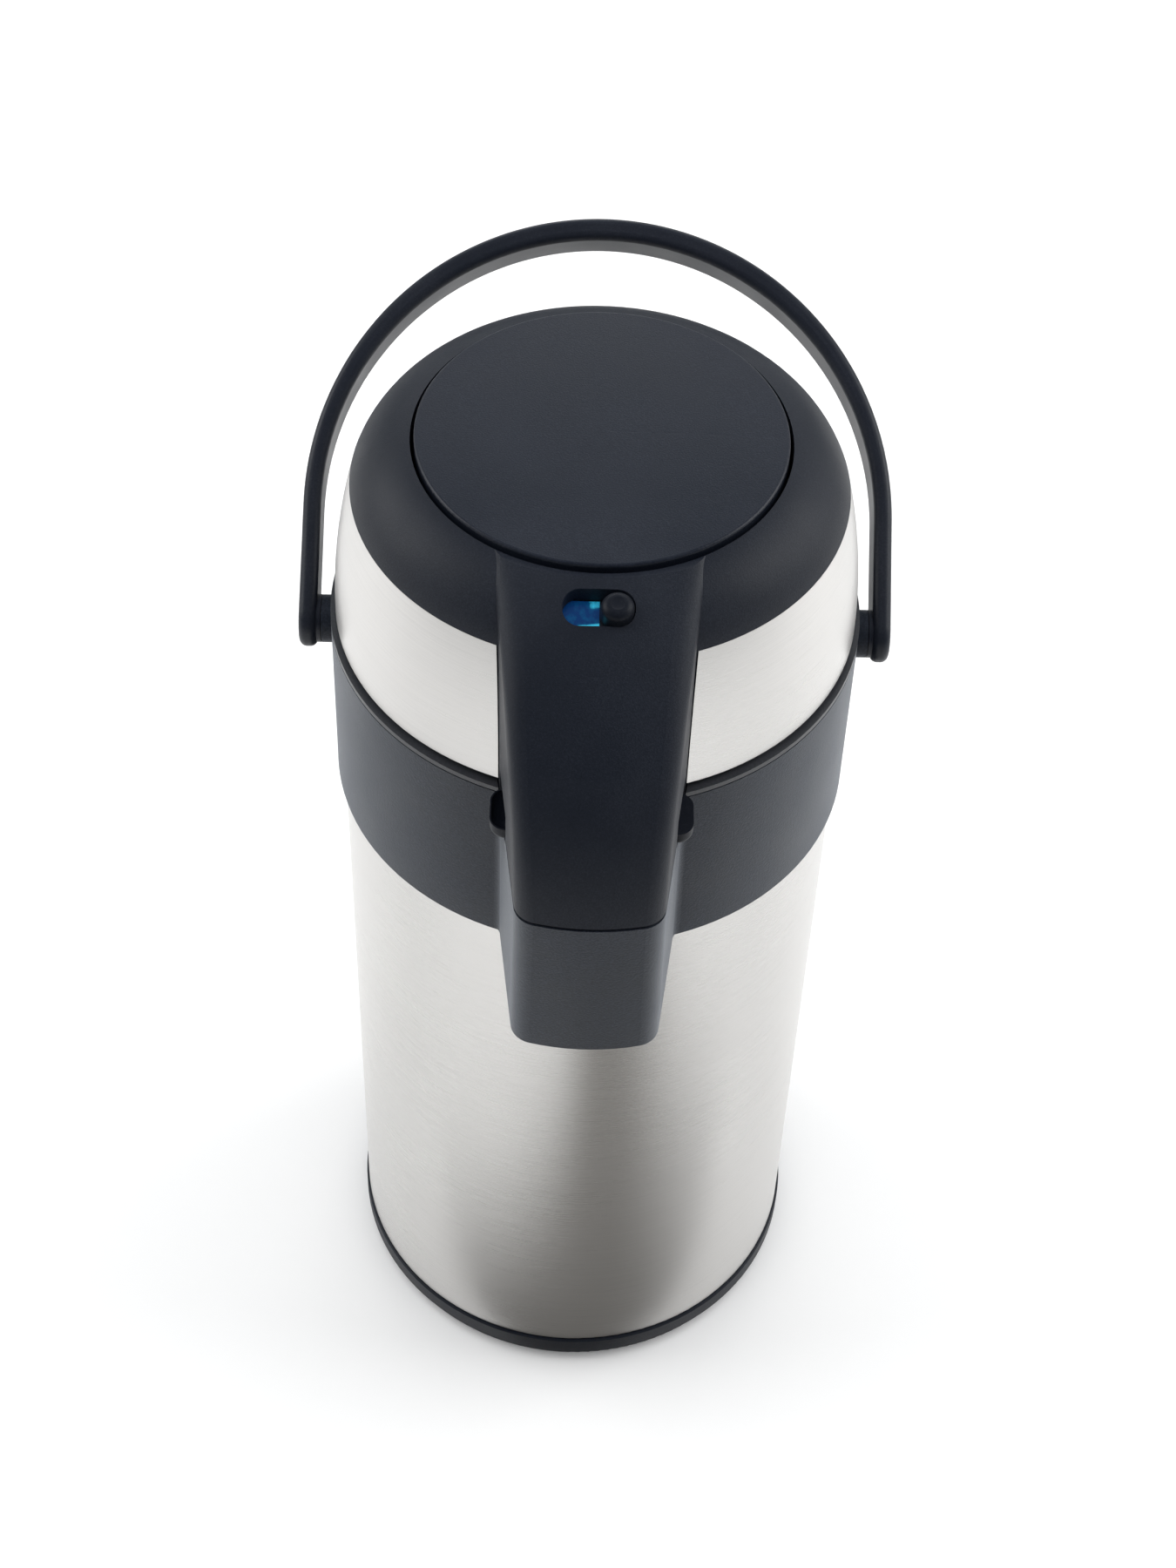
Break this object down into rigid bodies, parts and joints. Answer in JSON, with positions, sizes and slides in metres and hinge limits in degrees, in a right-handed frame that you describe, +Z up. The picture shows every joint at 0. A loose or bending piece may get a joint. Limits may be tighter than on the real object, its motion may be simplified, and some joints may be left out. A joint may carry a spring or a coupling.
{
  "type": "airpot",
  "caption": "Push-button pump vacuum flask: brushed steel body on a swivel base, black collar with a downward spout, hinged pump lid with a lock slide, and a bail handle.",
  "frame": {"origin": "centre of the footprint on the table, on the axis of the round body", "axes": "+Z up along the axis of the body, -Y towards the user where the spout points, +X to the user's right as seen from the front"},
  "size_m": [0.1724, 0.2253, 0.3712],
  "materials": {
    "brushed_steel_body": "fine horizontal brushing",
    "black_plastic": "satin, very fine texture",
    "smooth_black_plastic": "semi-gloss, smooth",
    "dark_grey_plastic": "satin",
    "grey_rim_plastic": "satin",
    "blue_window": "clear tinted",
    "inner_steel": "satin",
    "small_steel": "plated",
    "rubber": "matt",
    "silicone": "milky",
    "clear_plastic": "milky, smooth"
  },
  "bodies": {
    "turntable": {"turntable": "black_plastic", "turntable_pad": "rubber", "slip_ring": "clear_plastic", "swivel_washer": "small_steel", "swivel_screw": "small_steel"},
    "pot": {"base_ring": "black_plastic", "outer_body": "brushed_steel_body", "bottom_cap": "inner_steel", "inner_flask": "inner_steel", "collar": "black_plastic", "neck_gasket": "silicone", "mouth_ring": "dark_grey_plastic", "ring_screws": "small_steel", "suction_tube": "clear_plastic", "tube_packing": "silicone", "outlet_pipe": "clear_plastic", "pipe_packing": "silicone", "spout_nozzle": "dark_grey_plastic", "hinge_pin": "small_steel"},
    "bail": {"bail": "smooth_black_plastic"},
    "lid": {"lid_shell": "black_plastic", "lid_band": "brushed_steel_body", "lid_base": "grey_rim_plastic", "lid_screws": "small_steel", "lid_gasket": "silicone", "check_valve": "silicone", "bellows": "rubber", "pump_spring": "small_steel", "lock_guide": "dark_grey_plastic", "release_pin": "small_steel", "release_spring": "small_steel"},
    "button": {"pump_button": "black_plastic", "pressure_plate": "dark_grey_plastic", "button_screws": "small_steel", "intake_valve": "silicone"},
    "lock": {"lock_slider": "smooth_black_plastic", "lock_lens": "blue_window"},
    "release": {"release_lever": "smooth_black_plastic"}
  },
  "joints": [
    {"name": "base_swivel", "type": "hinge", "parent": "turntable", "child": "pot", "pos_m": [0, 0, 0], "axis": [0, 0, 1], "continuous": true},
    {"name": "bail_pivot", "type": "hinge", "parent": "pot", "child": "bail", "pos_m": [0, 0, 0.295], "axis": [-1, 0, 0], "range_deg": [-113.8, 0]},
    {"name": "lid_hinge", "type": "hinge", "parent": "pot", "child": "lid", "pos_m": [0, 0.083, 0.3029], "axis": [-1, 0, 0], "range_deg": [0, 27]},
    {"name": "pump_push", "type": "slide", "parent": "lid", "child": "button", "axis": [0, 0, -1], "range_m": [0, 0.022], "stiffness_N_per_m": 400, "springref_m": -0.01, "deforming": ["bellows", "pump_spring"]},
    {"name": "lock_slide", "type": "slide", "parent": "lid", "child": "lock", "axis": [-1, 0, 0], "range_m": [0, 0.0096]},
    {"name": "release_lift", "type": "hinge", "parent": "lid", "child": "release", "pos_m": [0, -0.06, 0.309], "axis": [-1, 0, 0], "range_deg": [0, 12], "stiffness_Nm_per_rad": 0.05, "springref_deg": -20.05}
  ]
}
